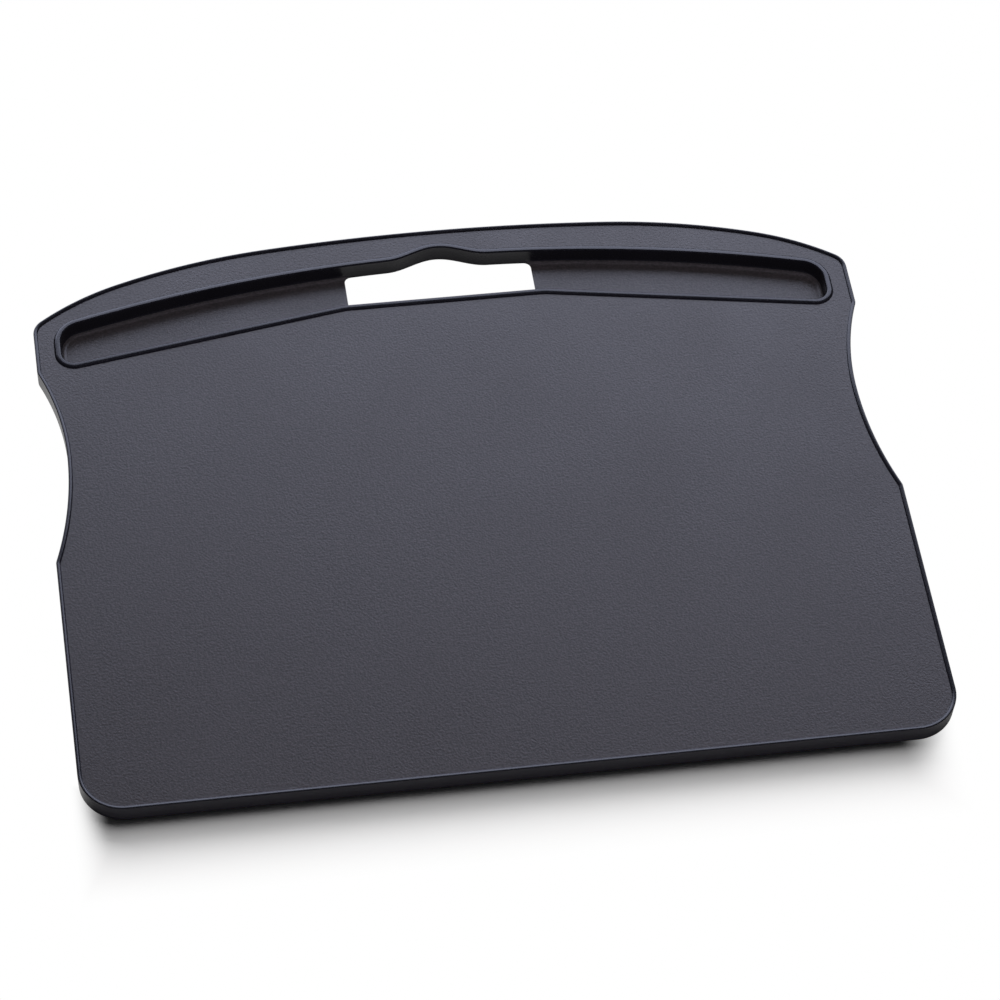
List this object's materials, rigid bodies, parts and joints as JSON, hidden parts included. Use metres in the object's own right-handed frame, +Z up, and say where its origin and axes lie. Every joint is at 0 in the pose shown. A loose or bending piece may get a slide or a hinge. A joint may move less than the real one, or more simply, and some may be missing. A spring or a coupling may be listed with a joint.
{
  "type": "laptop tray",
  "caption": "Flat black laptop tray with an arched back, drawn-in sides, a raised bead round its edge, a pen trough and a carry slot through it.",
  "frame": {"origin": "on the surface that the tray stands on, under the middle of its width and depth", "axes": "+X to the user's right along the width, +Y away from the user to the arched back edge, +Z up"},
  "size_m": [0.45, 0.356, 0.0123],
  "materials": {
    "textured_plastic": "fine moulded grain, satin black",
    "satin_plastic": "smooth satin black",
    "screw_steel": "zinc plated",
    "foot_rubber": "matt black"
  },
  "bodies": {
    "root": {"top_shell": "textured_plastic", "base_panel": "satin_plastic", "screw_back_left": "screw_steel", "screw_back_right": "screw_steel", "screw_centre": "screw_steel", "screw_front_left": "screw_steel", "screw_front_middle": "screw_steel", "screw_front_right": "screw_steel", "screw_handle_left": "screw_steel", "screw_handle_right": "screw_steel", "screw_trough_left": "screw_steel", "screw_trough_right": "screw_steel", "screw_waist_left": "screw_steel", "screw_waist_right": "screw_steel", "foot_back_left": "foot_rubber", "foot_back_right": "foot_rubber", "foot_front_left": "foot_rubber", "foot_front_right": "foot_rubber", "foot_middle_left": "foot_rubber", "foot_middle_right": "foot_rubber"}
  },
  "joints": []
}
